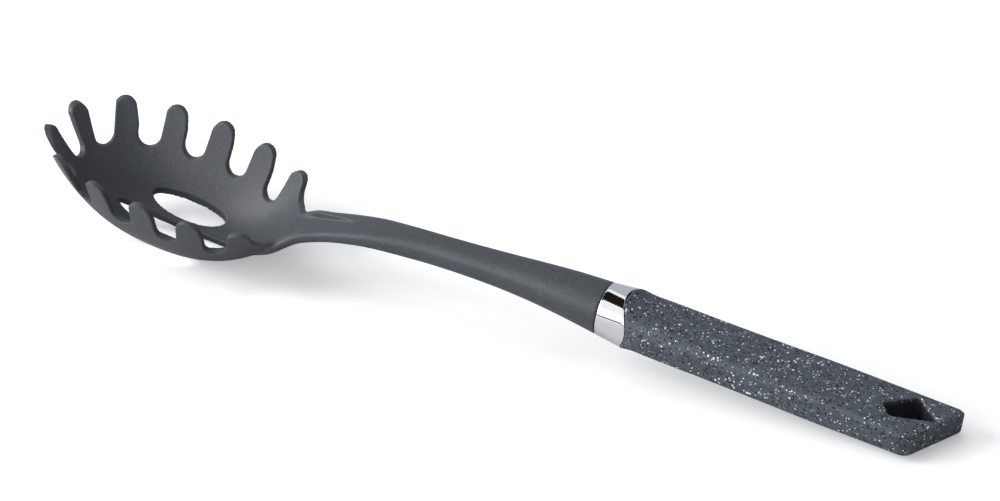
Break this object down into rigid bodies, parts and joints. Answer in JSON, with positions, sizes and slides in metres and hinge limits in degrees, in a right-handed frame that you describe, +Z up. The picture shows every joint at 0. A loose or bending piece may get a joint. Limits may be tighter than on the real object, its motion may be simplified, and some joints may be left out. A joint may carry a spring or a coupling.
{
  "type": "pasta server",
  "caption": "Slotted and tined nylon pasta server with a curved neck, a bright ring and a stone-effect grip with a hanging hole.",
  "frame": {"origin": "centre of the whole part's box, on the table that the bowl's floor and the grip's end rest on", "axes": "+X towards the grip's end, with the bowl at -X; +Y to the left looking that way; +Z up, out of the open side of the bowl"},
  "size_m": [0.3362, 0.063, 0.0397],
  "materials": {
    "nylon": "fine matte texture",
    "bright_ring": "polished",
    "core": "plain, hidden in the grip",
    "stone_grip": "soft touch, stone effect with pale and black specks"
  },
  "bodies": {
    "root": {"head": "nylon", "ferrule": "bright_ring", "handle_core": "core", "grip": "stone_grip"}
  },
  "joints": []
}
